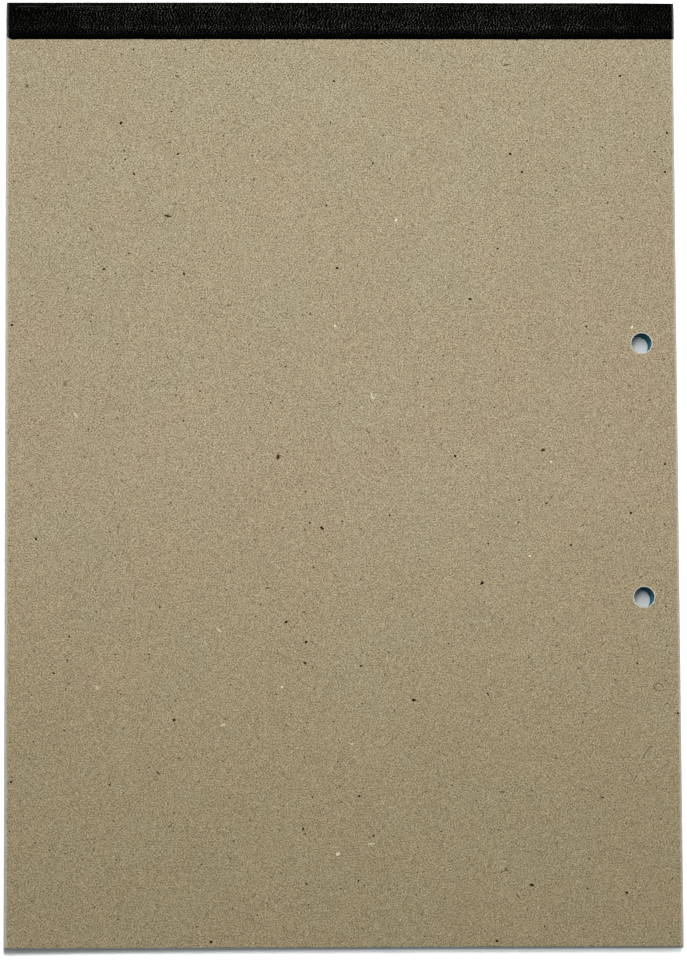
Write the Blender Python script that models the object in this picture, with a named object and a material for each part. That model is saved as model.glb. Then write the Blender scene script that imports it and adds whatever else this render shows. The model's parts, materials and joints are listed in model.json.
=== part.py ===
"""Lined writing pad, A4, head bound, lying face down.

The pad is a stack: a card front cover at the bottom, ruled sheets, and a greyboard back on top.
Padding glue holds the sheets' head edges, and one strip of tape is folded round the head over the
glue, lapping onto the front cover and onto the back board. Two filing holes are punched through
the cover, the sheets and the board.

+X is the side with the filing holes, +Y points to the bound head, +Z is up. Units are metres. The
origin is at the middle of the pad, on the plane that the cover's outer face lies on.
"""

import math

import bmesh
import bpy

# Sheet format
PAGE_WIDTH = 0.2100
PAGE_LENGTH = 0.2970
SHEET_COUNT = 50
SHEET_THICKNESS = 0.00010
SHEET_PITCH = 0.00012

# Cover, board and the air left between pieces that touch
COVER_THICKNESS = 0.00035
BOARD_THICKNESS = 0.00100
AIR = 0.00002

# Binding at the head
GLUE_THICKNESS = 0.00025
TAPE_THICKNESS = 0.00020
TAPE_LAP = 0.0117
TAPE_FOLD_RADIUS = 0.00040
FOLD_STEPS = 6

# Filing holes, along the middle of one long side and a touch nearer the head
HOLE_DIAMETER = 0.0063
HOLE_SPACING = 0.0800
HOLE_EDGE_DISTANCE = 0.0110
HOLES_TOWARDS_HEAD = 0.0003
SHEET_HOLE_SIDES = 16
BOARD_HOLE_SIDES = 32

# Heights of the hinge lines on the outer face of the tape
LEAF_AXIS_Z = 0.00445
COVER_AXIS_Z = 0.00060

# Derived positions
SPINE_DEPTH = AIR + GLUE_THICKNESS + AIR + TAPE_THICKNESS
FOOT_Y = -(PAGE_LENGTH + SPINE_DEPTH) / 2
HEAD_Y = FOOT_Y + PAGE_LENGTH
SPINE_Y = HEAD_Y + SPINE_DEPTH
PAGE_MIDDLE_Y = (FOOT_Y + HEAD_Y) / 2
HOLE_X = PAGE_WIDTH / 2 - HOLE_EDGE_DISTANCE
FIRST_SHEET_Z = COVER_THICKNESS + AIR
BOARD_Z = FIRST_SHEET_Z + SHEET_COUNT * SHEET_PITCH
TAPE_TOP_Z = BOARD_Z + BOARD_THICKNESS + AIR + TAPE_THICKNESS


def clear_scene():
    """Empties the scene and drops the collections that are left in it."""
    for old in list(bpy.data.objects):
        bpy.data.objects.remove(old, do_unlink=True)
    for group in list(bpy.context.scene.collection.children):
        bpy.context.scene.collection.children.unlink(group)


def new_collection(name):
    """A collection linked into the scene."""
    group = bpy.data.collections.new(name)
    bpy.context.scene.collection.children.link(group)
    return group


def new_material(name, color, roughness):
    """A plain Principled surface."""
    material = bpy.data.materials.new(name)
    material.use_nodes = True
    shader = material.node_tree.nodes["Principled BSDF"]
    shader.inputs["Base Color"].default_value = (*color, 1.0)
    shader.inputs["Roughness"].default_value = roughness
    shader.inputs["Metallic"].default_value = 0.0
    return material


def new_axis(group, name, z):
    """An empty on a hinge line that runs along X on the tape's outer face."""
    empty = bpy.data.objects.new(name, None)
    empty.empty_display_size = 0.02
    empty.location = (0.0, SPINE_Y, z)
    group.objects.link(empty)
    return empty


def attach(piece, axis, place):
    """Parents a piece to its hinge line and leaves its origin at the world point given."""
    piece.parent = axis
    piece.location = tuple(p - a for p, a in zip(place, axis.location))


def flat_curve(name, outlines, thickness):
    """A filled 2D curve whose closed outlines are extruded to the thickness about its own plane."""
    curve = bpy.data.curves.new(name, "CURVE")
    curve.dimensions = "2D"
    curve.fill_mode = "BOTH"
    curve.extrude = thickness / 2
    for outline in outlines:
        spline = curve.splines.new("POLY")
        spline.points.add(len(outline) - 1)
        for point, (u, v) in zip(spline.points, outline):
            point.co = (u, v, 0.0, 1.0)
        spline.use_cyclic_u = True
    return curve


def page_corners():
    """The sheet's outline about the middle of the page."""
    half_width = PAGE_WIDTH / 2
    half_length = PAGE_LENGTH / 2
    return [
        (-half_width, -half_length),
        (half_width, -half_length),
        (half_width, half_length),
        (-half_width, half_length),
    ]


def hole_circle(side, sides):
    """One filing hole, towards the head (side 1) or towards the foot (side -1)."""
    radius = HOLE_DIAMETER / 2
    circle = []
    for step in range(sides):
        turn = 2 * math.pi * (step + 0.5) / sides
        circle.append(
            (
                HOLE_X + radius * math.cos(turn),
                HOLES_TOWARDS_HEAD + side * HOLE_SPACING / 2 + radius * math.sin(turn),
            )
        )
    return circle


def punched_page(name, thickness, sides):
    """The flat outline that the cover, the sheets and the board share."""
    outlines = [page_corners(), hole_circle(1, sides), hole_circle(-1, sides)]
    return flat_curve(name, outlines, thickness)


def curve_to_mesh(source, group):
    """Replaces a curve object with a welded mesh object of the same name and place."""
    bpy.context.view_layer.update()
    evaluated = source.evaluated_get(bpy.context.evaluated_depsgraph_get())
    mesh = bpy.data.meshes.new_from_object(evaluated)
    work = bmesh.new()
    work.from_mesh(mesh)
    bmesh.ops.remove_doubles(work, verts=work.verts, dist=1e-7)
    bmesh.ops.recalc_face_normals(work, faces=work.faces)
    work.to_mesh(mesh)
    work.free()
    name = source.name
    place = source.matrix_world.copy()
    bpy.data.objects.remove(source, do_unlink=True)
    solid = bpy.data.objects.new(name, mesh)
    solid.matrix_world = place
    group.objects.link(solid)
    return solid


def add_sheets(group, axis, material):
    """The ruled sheets, each its own leaf on the common hinge line."""
    outline = punched_page("sheet_outline", SHEET_THICKNESS, SHEET_HOLE_SIDES)
    outline.materials.append(material)
    for index in range(SHEET_COUNT):
        sheet = bpy.data.objects.new(f"sheet_{index + 1:02d}", outline)
        group.objects.link(sheet)
        middle_z = FIRST_SHEET_Z + index * SHEET_PITCH + SHEET_THICKNESS / 2
        attach(sheet, axis, (0.0, PAGE_MIDDLE_Y, middle_z))


def add_board(group, axis, material):
    """The greyboard back, a plain punched plate."""
    outline = punched_page("board_outline", BOARD_THICKNESS, BOARD_HOLE_SIDES)
    outline.materials.append(material)
    board = bpy.data.objects.new("back_board", outline)
    group.objects.link(board)
    attach(board, axis, (0.0, PAGE_MIDDLE_Y, BOARD_Z + BOARD_THICKNESS / 2))


def add_cover(group, cutters, axis, material):
    """The card cover, with a rebate along the head that the tape is pressed into."""
    outline = punched_page("cover_outline", COVER_THICKNESS, SHEET_HOLE_SIDES)
    source = bpy.data.objects.new("front_cover", outline)
    source.location = (0.0, PAGE_MIDDLE_Y, COVER_THICKNESS / 2)
    bpy.context.scene.collection.objects.link(source)
    cover = curve_to_mesh(source, group)
    cover.data.materials.append(material)

    rebate_depth = TAPE_THICKNESS + AIR
    rebate_start = SPINE_Y - TAPE_LAP - AIR
    rebate_end = SPINE_Y + 0.01
    bpy.ops.mesh.primitive_cube_add(size=1.0)
    cutter = bpy.context.active_object
    cutter.name = "cover_rebate"
    for owner in list(cutter.users_collection):
        owner.objects.unlink(cutter)
    cutters.objects.link(cutter)
    cutter.scale = (PAGE_WIDTH + 0.02, rebate_end - rebate_start, 2 * rebate_depth)
    cutter.location = (0.0, (rebate_start + rebate_end) / 2, 0.0)
    cutter.hide_render = True
    cutter.display_type = "WIRE"

    cut = cover.modifiers.new("tape_rebate", "BOOLEAN")
    cut.operation = "DIFFERENCE"
    cut.solver = "EXACT"
    cut.object = cutter
    attach(cover, axis, (0.0, PAGE_MIDDLE_Y, COVER_THICKNESS / 2))


def add_glue(group, material):
    """The film of padding glue across the head edges of the block."""
    bottom = COVER_THICKNESS
    top = BOARD_Z + BOARD_THICKNESS / 2
    bpy.ops.mesh.primitive_cube_add(size=1.0)
    glue = bpy.context.active_object
    glue.name = "padding_glue"
    for owner in list(glue.users_collection):
        owner.objects.unlink(glue)
    group.objects.link(glue)
    glue.scale = (PAGE_WIDTH, GLUE_THICKNESS, top - bottom)
    glue.location = (0.0, HEAD_Y + AIR + GLUE_THICKNESS / 2, (bottom + top) / 2)
    glue.data.materials.append(material)


def fold_arc(center, radius, start, end):
    """Points of one rounded fold of the tape, from start to end in quarter turns."""
    arc = []
    for step in range(FOLD_STEPS + 1):
        turn = math.pi / 2 * (start + (end - start) * step / FOLD_STEPS)
        arc.append(
            (
                center[0] + radius * math.cos(turn),
                center[1] + radius * math.sin(turn),
            )
        )
    return arc


def tape_section():
    """The folded strip's section, as points in Y and Z: outer side first, then back inside."""
    outer = TAPE_FOLD_RADIUS
    inner = TAPE_FOLD_RADIUS - TAPE_THICKNESS
    lap_end = SPINE_Y - TAPE_LAP
    low_fold = (SPINE_Y - outer, outer)
    high_fold = (SPINE_Y - outer, TAPE_TOP_Z - outer)
    section = [(lap_end, 0.0)]
    section += fold_arc(low_fold, outer, -1, 0)
    section += fold_arc(high_fold, outer, 0, 1)
    section.append((lap_end, TAPE_TOP_Z))
    section.append((lap_end, TAPE_TOP_Z - TAPE_THICKNESS))
    section += fold_arc(high_fold, inner, 1, 0)
    section += fold_arc(low_fold, inner, 0, -1)
    section.append((lap_end, TAPE_THICKNESS))
    return section


def add_tape(group, material):
    """The binding tape: one strip folded round the head from the cover to the board."""
    strip = flat_curve("tape_section", [tape_section()], PAGE_WIDTH)
    strip.materials.append(material)
    tape = bpy.data.objects.new("binding_tape", strip)
    tape.rotation_euler = (math.pi / 2, 0.0, math.pi / 2)
    group.objects.link(tape)


def main():
    clear_scene()
    pad = new_collection("writing_pad")
    cutters = new_collection("writing_pad_cutters")

    paper = new_material("ruled_paper", (0.80, 0.81, 0.78), 0.85)
    greyboard = new_material("greyboard", (0.40, 0.34, 0.22), 0.90)
    card = new_material("cover_card", (0.12, 0.24, 0.36), 0.60)
    cloth = new_material("tape_cloth", (0.010, 0.010, 0.009), 0.50)
    glue = new_material("padding_glue", (0.62, 0.60, 0.55), 0.45)

    leaf_axis = new_axis(pad, "leaf_axis", LEAF_AXIS_Z)
    cover_axis = new_axis(pad, "cover_axis", COVER_AXIS_Z)

    add_cover(pad, cutters, cover_axis, card)
    add_sheets(pad, leaf_axis, paper)
    add_board(pad, leaf_axis, greyboard)
    add_glue(pad, glue)
    add_tape(pad, cloth)


main()
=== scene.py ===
"""Looks of a lined A4 writing pad that lies face down on a pale table.

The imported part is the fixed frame, and every piece here sits where its solid is. Each
sub-assembly is a class: the greyboard back, the binding tape, the padding glue, the block of
ruled sheets and the card cover. +X is the side with the filing holes, +Y points to the bound
head and +Z is up. Units are metres.
"""

from __future__ import annotations

import json
import logging
import math
import random
from dataclasses import dataclass, field
from enum import Enum
from typing import Any, Mapping, Sequence, Union

import bmesh
import bpy
from mathutils import Matrix, Vector, noise

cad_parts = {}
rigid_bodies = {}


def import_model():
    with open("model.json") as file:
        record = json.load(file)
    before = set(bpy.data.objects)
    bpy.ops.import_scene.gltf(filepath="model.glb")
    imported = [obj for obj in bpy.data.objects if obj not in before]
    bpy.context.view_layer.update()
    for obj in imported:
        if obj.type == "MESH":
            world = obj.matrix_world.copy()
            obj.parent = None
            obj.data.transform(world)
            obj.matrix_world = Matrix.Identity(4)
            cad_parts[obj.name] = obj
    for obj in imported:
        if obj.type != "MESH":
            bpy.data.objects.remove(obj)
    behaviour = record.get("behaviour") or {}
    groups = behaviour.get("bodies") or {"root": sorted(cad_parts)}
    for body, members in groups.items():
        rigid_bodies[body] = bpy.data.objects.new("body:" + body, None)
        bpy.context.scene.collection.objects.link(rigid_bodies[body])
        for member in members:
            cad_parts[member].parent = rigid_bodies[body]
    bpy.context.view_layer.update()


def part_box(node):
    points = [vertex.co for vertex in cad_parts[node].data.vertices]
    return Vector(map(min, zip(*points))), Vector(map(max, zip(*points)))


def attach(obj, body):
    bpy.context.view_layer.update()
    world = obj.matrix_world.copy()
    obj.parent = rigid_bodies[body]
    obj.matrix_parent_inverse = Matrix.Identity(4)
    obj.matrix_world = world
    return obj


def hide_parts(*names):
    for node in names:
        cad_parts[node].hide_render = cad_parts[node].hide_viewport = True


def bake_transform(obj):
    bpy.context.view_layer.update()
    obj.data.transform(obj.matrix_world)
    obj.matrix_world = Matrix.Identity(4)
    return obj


LOG = logging.getLogger("writing_pad")

Vec2 = tuple[float, float]
Vec3 = tuple[float, float, float]
Colour = tuple[float, float, float]
Settings = Mapping[str, Any]
Sockets = Mapping[Union[str, int], Any]
Owner = Union[bpy.types.Material, bpy.types.World]

PHOTO_WIDTH = 687
PHOTO_HEIGHT = 960
MM = 0.001
GOLDEN = 0.6180339887
WHITE: Colour = (1.0, 1.0, 1.0)

# Points count as one place, or as level, when they are closer than this
NEAR = 1e-6
LEVEL = 1e-7

# A face belongs to a cut edge when its normal's Z is less than this
STEEP = 0.8


class Scalar:
    """A number socket on which Python's operators add Math nodes."""

    def __init__(self, graph: Graph, socket: bpy.types.NodeSocket) -> None:
        """Keeps the socket and the graph that it belongs to."""
        self.graph = graph
        self.socket = socket

    def math(self, operation: str, *values: Any) -> Scalar:
        """Adds one Math node.

        Args:
            operation: The node's operation.
            values: Its inputs in order, numbers or other scalars.

        Returns:
            The node's result.
        """
        made = self.graph.node(
            "ShaderNodeMath", {"operation": operation}, dict(enumerate(values))
        )
        return Scalar(self.graph, made.outputs[0])

    def __add__(self, other: Any) -> Scalar:
        """The sum of this and other."""
        return self.math("ADD", self, other)

    def __radd__(self, other: Any) -> Scalar:
        """The sum of other and this."""
        return self.math("ADD", other, self)

    def __sub__(self, other: Any) -> Scalar:
        """This less other."""
        return self.math("SUBTRACT", self, other)

    def __rsub__(self, other: Any) -> Scalar:
        """Other less this."""
        return self.math("SUBTRACT", other, self)

    def __mul__(self, other: Any) -> Scalar:
        """This times other."""
        return self.math("MULTIPLY", self, other)

    def __rmul__(self, other: Any) -> Scalar:
        """Other times this."""
        return self.math("MULTIPLY", other, self)

    def __truediv__(self, other: Any) -> Scalar:
        """This over other."""
        return self.math("DIVIDE", self, other)

    def __rtruediv__(self, other: Any) -> Scalar:
        """Other over this."""
        return self.math("DIVIDE", other, self)

    def __pow__(self, other: Any) -> Scalar:
        """This to the power of other."""
        return self.math("POWER", self, other)

    def __abs__(self) -> Scalar:
        """This without its sign."""
        return self.math("ABSOLUTE", self)

    def least(self, other: Any) -> Scalar:
        """The smaller of this and other."""
        return self.math("MINIMUM", self, other)

    def most(self, other: Any) -> Scalar:
        """The larger of this and other."""
        return self.math("MAXIMUM", self, other)

    def nearest(self) -> Scalar:
        """The nearest whole number."""
        return self.math("ROUND", self)

    def rise(self, low: float, high: float) -> Scalar:
        """A smooth step from 0 at low to 1 at high."""
        made = self.graph.node(
            "ShaderNodeMapRange",
            {"interpolation_type": "SMOOTHSTEP"},
            {0: self, 1: low, 2: high, 3: 0.0, 4: 1.0},
        )
        return Scalar(self.graph, made.outputs[0])

    def fall(self, low: float, high: float) -> Scalar:
        """A smooth step from 1 at low to 0 at high."""
        return 1.0 - self.rise(low, high)


class Graph:
    """The node tree of one finish, or of the world."""

    def __init__(self, owner: Owner) -> None:
        """Empties the nodes of a new material or world."""
        owner.use_nodes = True
        self.owner = owner
        self.tree = owner.node_tree
        self.tree.nodes.clear()

    @classmethod
    def finish(cls, name: str) -> Graph:
        """Starts a material of that name."""
        return cls(bpy.data.materials.new(name))

    def node(
        self, kind: str, settings: Settings | None = None, sockets: Sockets | None = None
    ) -> bpy.types.Node:
        """Adds any node.

        Args:
            kind: The node's type.
            settings: Its properties, which are set first.
            sockets: Values or links of its inputs, by name or number.

        Returns:
            The node.
        """
        made = self.tree.nodes.new(kind)
        for name, value in (settings or {}).items():
            setattr(made, name, value)
        for key, value in (sockets or {}).items():
            self.feed(made.inputs[key], value)
        return made

    def feed(self, target: bpy.types.NodeSocket, value: Any) -> None:
        """Links a socket to an input, or sets the input's own value.

        Args:
            target: The input.
            value: A scalar, a socket, a number or a tuple.
        """
        if isinstance(value, Scalar):
            value = value.socket
        if isinstance(value, bpy.types.NodeSocket):
            self.tree.links.new(value, target)
        elif target.type == "RGBA":
            target.default_value = (*value, 1.0)
        else:
            target.default_value = value

    def place(self) -> bpy.types.NodeSocket:
        """The point on the piece, in its own coordinates."""
        return self.node("ShaderNodeTexCoord").outputs["Object"]

    def split(self, vector: bpy.types.NodeSocket) -> tuple[Scalar, Scalar, Scalar]:
        """The three parts of a vector."""
        made = self.node("ShaderNodeSeparateXYZ", sockets={0: vector})
        return tuple(Scalar(self, out) for out in made.outputs)

    def stretched(
        self, vector: bpy.types.NodeSocket, scale: Vec3, turn: float = 0.0
    ) -> bpy.types.NodeSocket:
        """A point scaled along the axes and turned about Z.

        Args:
            vector: The point.
            scale: Scale along each axis.
            turn: Turn about Z in degrees, before the scale.

        Returns:
            The changed point.
        """
        turned = self.node(
            "ShaderNodeMapping",
            sockets={"Vector": vector, "Rotation": (0.0, 0.0, math.radians(turn))},
        )
        scaled = self.node(
            "ShaderNodeMapping",
            sockets={"Vector": turned.outputs[0], "Scale": scale},
        )
        return scaled.outputs[0]

    def noise(
        self,
        where: bpy.types.NodeSocket,
        size: float,
        detail: float = 2.0,
        roughness: float = 0.5,
        warp: float = 0.0,
    ) -> Scalar:
        """Cloudy noise about 0.5.

        Args:
            where: The point.
            size: Size of one cloud in metres.
            detail: Finer layers.
            roughness: Weight of the finer layers.
            warp: How far the clouds are drawn out of shape.

        Returns:
            The noise.
        """
        made = self.node(
            "ShaderNodeTexNoise",
            sockets={
                "Vector": where,
                "Scale": 1.0 / size,
                "Detail": detail,
                "Roughness": roughness,
                "Distortion": warp,
            },
        )
        return Scalar(self, made.outputs["Fac"])

    def ripple(
        self, where: bpy.types.NodeSocket, length: float, waves: float, oneway: float = 0.0
    ) -> Scalar:
        """Short patches of waves, all of about one length, about 0.5.

        Args:
            where: The point.
            length: Length of one wave in metres.
            waves: Waves across one patch.
            oneway: 0 where the patches run all ways, 1 where all of them run along X.

        Returns:
            The height of the waves.
        """
        made = self.node(
            "ShaderNodeTexGabor",
            {"gabor_type": "2D"},
            {
                "Vector": where,
                "Scale": 1.0 / (length * waves),
                "Frequency": waves,
                "Anisotropy": oneway,
                "Orientation": 0.0,
            },
        )
        return Scalar(self, made.outputs["Value"])

    def cells(self, where: bpy.types.NodeSocket, size: float) -> tuple[Scalar, Scalar]:
        """Points scattered in the plane of X and Y.

        Args:
            where: The point.
            size: Mean distance between the points in metres.

        Returns:
            Distance to the nearest point in metres, and a number from 0 to 1 of its own.
        """
        made = self.node(
            "ShaderNodeTexVoronoi",
            {"voronoi_dimensions": "2D"},
            {"Vector": where, "Scale": 1.0 / size},
        )
        own = self.node("ShaderNodeSeparateXYZ", sockets={0: made.outputs["Color"]})
        return Scalar(self, made.outputs["Distance"]) * size, Scalar(self, own.outputs[0])

    def mix(self, share: Any, first: Any, second: Any, way: str = "MIX") -> bpy.types.NodeSocket:
        """Mixes two colours.

        Args:
            share: Share of the second colour.
            first: The first colour.
            second: The second colour.
            way: The Mix node's blend type.

        Returns:
            The mixed colour.
        """
        made = self.node(
            "ShaderNodeMix",
            {"data_type": "RGBA", "blend_type": way},
            {0: share, 6: first, 7: second},
        )
        return made.outputs[2]

    def bump(self, height: Scalar, depth: float) -> bpy.types.NodeSocket:
        """A normal from a height of 0 to 1 that is depth metres tall."""
        made = self.node(
            "ShaderNodeBump", sockets={"Strength": 1.0, "Distance": depth, "Height": height}
        )
        return made.outputs[0]

    def surface(
        self, colour: Any, roughness: float, gloss: float, normal: Any = None
    ) -> bpy.types.NodeSocket:
        """A Principled surface.

        Args:
            colour: Its base colour.
            roughness: Its roughness.
            gloss: Its specular level.
            normal: Its bumped normal, if it has one.

        Returns:
            The shader.
        """
        sockets = {"Base Color": colour, "Roughness": roughness, "Specular IOR Level": gloss}
        if normal is not None:
            sockets["Normal"] = normal
        return self.node("ShaderNodeBsdfPrincipled", sockets=sockets).outputs[0]

    def blend(
        self, share: Any, first: bpy.types.NodeSocket, second: bpy.types.NodeSocket
    ) -> bpy.types.NodeSocket:
        """Mixes two shaders by the share of the second."""
        made = self.node("ShaderNodeMixShader", sockets={0: share, 1: first, 2: second})
        return made.outputs[0]

    def looked_at(self) -> Scalar:
        """1 on the rays that show a surface to the eye, also in a mirror or through glass."""
        rays = self.node("ShaderNodeLightPath")
        names = ("Is Camera Ray", "Is Glossy Ray", "Is Transmission Ray")
        straight, mirrored, through = (Scalar(self, rays.outputs[name]) for name in names)
        return (straight + mirrored + through).least(1.0)

    def close(self, shader: bpy.types.NodeSocket) -> Owner:
        """Links the shader to the output and returns the material or the world."""
        in_world = isinstance(self.owner, bpy.types.World)
        kind = "ShaderNodeOutputWorld" if in_world else "ShaderNodeOutputMaterial"
        self.node(kind, sockets={"Surface": shader})
        return self.owner


@dataclass(frozen=True)
class PadFrame:
    """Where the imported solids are, read once from the frame."""

    board_low: Vector
    board_high: Vector
    tape_low: Vector
    tape_high: Vector
    glue_low: Vector
    glue_high: Vector
    cover_low: Vector
    cover_high: Vector
    hole_x: float = 0.0940
    hole_middle_y: float = 0.000055
    hole_spacing: float = 0.0800
    hole_radius: float = 0.00315
    punch_lean: float = -0.00050
    leaf_axis_z: float = 0.00445
    cover_axis_z: float = 0.00060
    spine_bend: float = 0.00180

    @classmethod
    def read(cls) -> PadFrame:
        """Reads the boxes of the solids."""
        boxes: list[Vector] = []
        for node in ("back_board", "binding_tape", "padding_glue", "front_cover"):
            boxes.extend(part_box(node))
        return cls(*boxes)

    def holes(self, depth: float = 0.0) -> list[Vec2]:
        """The middles of the two filing holes.

        Args:
            depth: How deep in the pad, 0 at the board and 1 at the cover.

        Returns:
            Their middles. The punch leaned a little, so they move with the depth.
        """
        half = self.hole_spacing / 2
        x = self.hole_x + self.punch_lean * depth
        return [(x, self.hole_middle_y + side * half) for side in (1, -1)]


@dataclass(frozen=True)
class GreyboardFinish:
    """Pressed waste-paper board: mottled, fibrous and full of specks."""

    # Painted light: the ground is lighter in the middle and darker, more saturated, towards the foot,
    # as the light falls along the board
    head: Colour = (0.430, 0.364, 0.232)
    middle: Colour = (0.454, 0.373, 0.237)
    foot: Colour = (0.420, 0.351, 0.205)
    green: Colour = (0.985, 1.012, 1.018)
    pink: Colour = (1.022, 0.990, 0.996)
    shaded: Colour = (0.400, 0.366, 0.288)
    raised: Colour = (1.600, 1.634, 1.712)
    speck: Colour = (0.016, 0.011, 0.006)
    brown: Colour = (0.150, 0.108, 0.055)
    pale: Colour = (0.800, 0.725, 0.560)
    worn: Colour = (0.680, 0.645, 0.550)
    # rim is a painted highlight: the pale ring round the holes
    rim: Colour = (0.720, 0.700, 0.590)
    # Chipped fibres with painted shade: a dark ragged line along the foot edge
    chips_and_shade: Colour = (0.075, 0.077, 0.055)
    cloud_size: float = 24 * MM
    clump_size: float = 2.4 * MM
    grain_size: float = 0.36 * MM
    ripple_length: float = 0.80 * MM
    strand_size: float = 0.90 * MM
    speck_spacing: float = 8.5 * MM
    fine_speck_spacing: float = 3.2 * MM
    worn_width: float = 0.95 * MM
    chips_and_shade_width: float = 0.30 * MM
    worn_share: float = 0.75
    hole_rim_highlight_share: float = 0.85
    chips_and_shade_share: float = 0.85
    cloud_weight: float = 0.06
    clump_weight: float = 0.05
    grain_weight: float = 0.90
    ripple_weight: float = 1.15
    light_strand_weight: float = 0.06
    dark_strand_weight: float = 0.08
    speck_radius: Vec2 = (0.14 * MM, 0.34 * MM)
    fine_speck_radius: Vec2 = (0.06 * MM, 0.32 * MM)
    speck_rough: float = 0.30 * MM

    def build(self, pad: PadFrame) -> bpy.types.Material:
        """Makes the material.

        Args:
            pad: Where the board's outline and holes are.

        Returns:
            The material.
        """
        g = Graph.finish("greyboard_face")
        p = g.place()
        colour = self.specked(g, p, self.fibre_colour(g, p, pad))
        edge, rim, chips_and_shade = self.cut_shares(g, p, pad)
        colour = g.mix(edge * self.worn_share, colour, self.worn)
        # painted highlight round the holes
        colour = g.mix(rim * self.hole_rim_highlight_share, colour, self.rim)
        # chips and painted shade along the foot
        colour = g.mix(chips_and_shade * self.chips_and_shade_share, colour, self.chips_and_shade)
        height = g.noise(p, self.grain_size, 3.0, 0.6) * 0.6 + g.noise(p, self.clump_size) * 0.4
        return g.close(
            g.surface(colour, roughness=0.93, gloss=0.12, normal=g.bump(height, 0.05 * MM))
        )

    def fibre_colour(
        self, g: Graph, p: bpy.types.NodeSocket, pad: PadFrame
    ) -> bpy.types.NodeSocket:
        """The mottled ground without its specks.

        Args:
            g: The graph.
            p: The point.
            pad: Where the board's head and foot are.

        Returns:
            The colour.
        """
        _, y, _ = g.split(p)
        # painted light: the head, middle and foot colours follow how the light falls along the board
        down = y.fall(pad.board_low.y, pad.board_high.y) * 2.0
        ground = g.mix(down.least(1.0), self.head, self.middle)
        ground = g.mix((down - 1.0).most(0.0), ground, self.foot)
        tint = g.noise(p, self.cloud_size * 0.8, 3.0, 0.6)
        ground = g.mix(tint.rise(0.50, 0.66), ground, self.green, "MULTIPLY")
        ground = g.mix(tint.fall(0.34, 0.50), ground, self.pink, "MULTIPLY")
        cloud = g.noise(p, self.cloud_size, 2.0)
        clump = g.noise(p, self.clump_size, 2.0, 0.6)
        grain = g.noise(p, self.grain_size, 0.0)
        ripple = g.ripple(p, self.ripple_length, 1.5)
        light = self.strands(g, g.stretched(p, (1.0, 0.45, 1.0), 35.0), self.strand_size)
        dark = self.strands(g, g.stretched(p, (0.45, 1.0, 1.0), 20.0), self.strand_size)
        tone = (
            0.5
            + (cloud - 0.5) * self.cloud_weight
            + (clump - 0.5) * self.clump_weight
            + (grain - 0.5) * self.grain_weight
            + (ripple - 0.5) * self.ripple_weight
            + light * self.light_strand_weight
            - dark * self.dark_strand_weight
        )
        return g.mix(1.0, ground, g.mix(tone, self.shaded, self.raised), "MULTIPLY")

    def strands(self, g: Graph, p: bpy.types.NodeSocket, size: float) -> Scalar:
        """Thin curling strands, 1 on a strand and 0 between them."""
        return abs(g.noise(p, size, 1.0, 0.5, 0.8) - 0.5).fall(0.0, 0.045)

    def specked(
        self, g: Graph, p: bpy.types.NodeSocket, ground: bpy.types.NodeSocket
    ) -> bpy.types.NodeSocket:
        """Puts dark, brown and pale specks on the ground colour.

        Args:
            g: The graph.
            p: The point.
            ground: The colour below.

        Returns:
            The colour with specks.
        """
        away, own = g.cells(p, self.speck_spacing)
        rough = g.noise(p, 0.35 * MM, 1.0) - 0.5
        size = away + rough * self.speck_rough
        dark = size.fall(*self.speck_radius) * own.rise(0.50, 0.54)
        colour = g.mix(dark * 0.90, ground, self.speck)
        away, own = g.cells(g.stretched(p, (1.0, 1.0, 1.0), 31.0), self.fine_speck_spacing)
        size = away + rough * self.speck_rough
        fine = size.fall(*self.fine_speck_radius)
        colour = g.mix(fine * own.rise(0.60, 0.64) * 0.66, colour, self.brown)
        return g.mix(fine * own.fall(0.24, 0.28) * 0.70, colour, self.pale)

    def cut_shares(
        self, g: Graph, p: bpy.types.NodeSocket, pad: PadFrame
    ) -> tuple[Scalar, Scalar, Scalar]:
        """How the cuts fray and chip the face, with a painted highlight round the holes and painted
        shade along the foot.

        Args:
            g: The graph.
            p: The point.
            pad: Where the outline and the holes are.

        Returns:
            A share of fraying along the outline, a painted highlight round the holes, and chips with
            painted shade along the foot.
        """
        x, y, _ = g.split(p)
        side = pad.board_high.x - abs(x)
        foot = y - pad.board_low.y
        from_hole_y = abs(y - pad.hole_middle_y) - pad.hole_spacing / 2
        from_hole_x = x - pad.hole_x
        rim = (from_hole_x * from_hole_x + from_hole_y * from_hole_y) ** 0.5 - pad.hole_radius
        fray = (g.noise(p, 1.3 * MM, 2.0) - 0.5) * (0.8 * MM)
        edge = (side.least(foot * 3.0) + fray).fall(0.15 * MM, self.worn_width)
        # painted shade along the foot edge, broken up like chips
        chips_and_shade_wobble = (g.noise(p, 0.6 * MM, 2.0) - 0.5) * (0.8 * MM)
        chips_and_shade = (foot + chips_and_shade_wobble).fall(0.0, self.chips_and_shade_width)
        return edge, (rim + fray * 0.25).fall(0.24 * MM, 0.46 * MM), chips_and_shade


@dataclass(frozen=True)
class BoardEdgeFinish:
    """The board's cut edge, where its plies show as streaks, darkened overall as painted shade."""

    # Both colours are set darker than the board as painted shade
    light: Colour = (0.240, 0.210, 0.152)
    dark: Colour = (0.085, 0.071, 0.046)

    def build(self) -> bpy.types.Material:
        """Makes the material."""
        g = Graph.finish("greyboard_edge")
        p = g.place()
        plies = g.noise(g.stretched(p, (0.18, 0.18, 1.0)), 0.16 * MM, 2.0, 0.6)
        bits = g.noise(p, 0.5 * MM, 2.0)
        colour = g.mix((plies * 0.6 + bits * 0.4).rise(0.36, 0.64), self.dark, self.light)
        return g.close(
            g.surface(colour, roughness=0.95, gloss=0.10, normal=g.bump(plies, 0.06 * MM))
        )


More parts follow.
